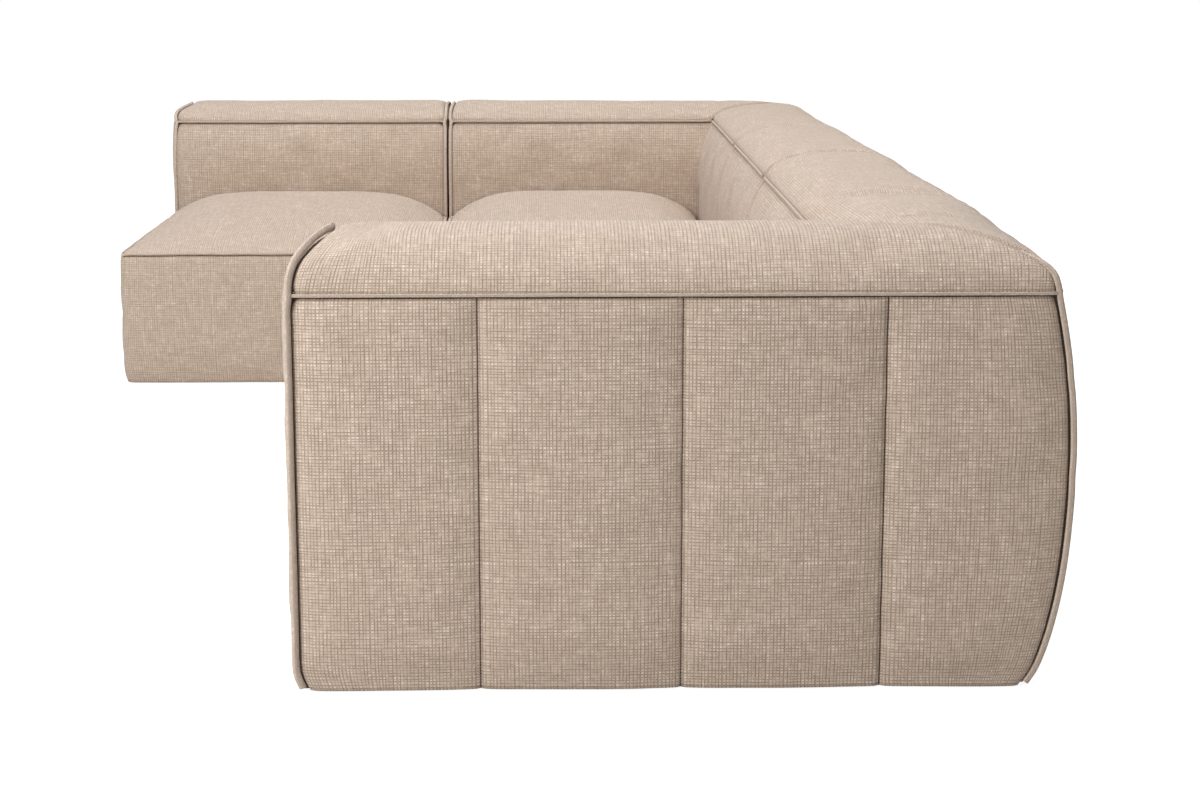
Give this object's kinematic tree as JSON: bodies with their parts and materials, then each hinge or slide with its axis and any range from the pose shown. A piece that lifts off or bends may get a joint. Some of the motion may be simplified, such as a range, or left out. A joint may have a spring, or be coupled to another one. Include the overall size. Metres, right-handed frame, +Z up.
{
  "type": "sectional sofa",
  "caption": "Low modular corner sofa with belly-shaped backs, crowned seats, one armrest and an open end, on hidden feet under fabric covers.",
  "frame": {"origin": "on the floor, under the middle of the whole footprint", "axes": "+Z up; +Y from the armrest along the side run to the far back; +X from the open end towards the outer back of the side run"},
  "size_m": [1.78, 3.22, 0.6446],
  "materials": {
    "sofa_fabric": "slub basket weave, matt",
    "cushion_foam": "open-cell foam",
    "frame_timber": "sawn softwood and plywood",
    "spring_steel": "drawn wire",
    "zinc_steel": "zinc plated",
    "elastic_webbing": "woven elastic band",
    "dust_cloth": "spun-bonded cloth",
    "black_plastic": "moulded"
  },
  "bodies": {
    "corner_module": {"corner_seat_cover": "sofa_fabric", "corner_side_back_cover": "sofa_fabric", "corner_far_back_cover": "sofa_fabric", "corner_seat_foam": "cushion_foam", "corner_base_frame": "frame_timber", "corner_side_back_frame": "frame_timber", "corner_far_back_frame": "frame_timber", "corner_seat_springs": "spring_steel", "corner_spring_clips": "zinc_steel", "corner_side_back_webbing": "elastic_webbing", "corner_far_back_webbing": "elastic_webbing", "corner_frame_bolts": "zinc_steel", "corner_dust_cloth": "dust_cloth", "corner_feet": "black_plastic", "corner_link_eyes": "zinc_steel"},
    "middle_module": {"middle_seat_cover": "sofa_fabric", "middle_back_cover": "sofa_fabric", "middle_seat_foam": "cushion_foam", "middle_base_frame": "frame_timber", "middle_back_frame": "frame_timber", "middle_seat_springs": "spring_steel", "middle_spring_clips": "zinc_steel", "middle_back_webbing": "elastic_webbing", "middle_frame_bolts": "zinc_steel", "middle_dust_cloth": "dust_cloth", "middle_feet": "black_plastic", "middle_link_eyes": "zinc_steel", "middle_link_pins": "zinc_steel"},
    "arm_module": {"arm_seat_cover": "sofa_fabric", "arm_back_cover": "sofa_fabric", "armrest_cover": "sofa_fabric", "arm_seat_foam": "cushion_foam", "arm_base_frame": "frame_timber", "arm_back_frame": "frame_timber", "armrest_frame": "frame_timber", "arm_seat_springs": "spring_steel", "arm_spring_clips": "zinc_steel", "arm_back_webbing": "elastic_webbing", "arm_frame_bolts": "zinc_steel", "arm_dust_cloth": "dust_cloth", "arm_feet": "black_plastic", "arm_link_pins": "zinc_steel"},
    "end_module": {"end_seat_cover": "sofa_fabric", "end_back_cover": "sofa_fabric", "end_seat_foam": "cushion_foam", "end_base_frame": "frame_timber", "end_back_frame": "frame_timber", "end_seat_springs": "spring_steel", "end_spring_clips": "zinc_steel", "end_back_webbing": "elastic_webbing", "end_frame_bolts": "zinc_steel", "end_dust_cloth": "dust_cloth", "end_feet": "black_plastic", "end_link_pins": "zinc_steel"}
  },
  "joints": [
    {"name": "middle_lift", "type": "slide", "parent": "corner_module", "child": "middle_module", "axis": [0, 0, 1], "range_m": [0, 0.05]},
    {"name": "arm_lift", "type": "slide", "parent": "middle_module", "child": "arm_module", "axis": [0, 0, 1], "range_m": [0, 0.05]},
    {"name": "end_lift", "type": "slide", "parent": "corner_module", "child": "end_module", "axis": [0, 0, 1], "range_m": [0, 0.05]}
  ]
}
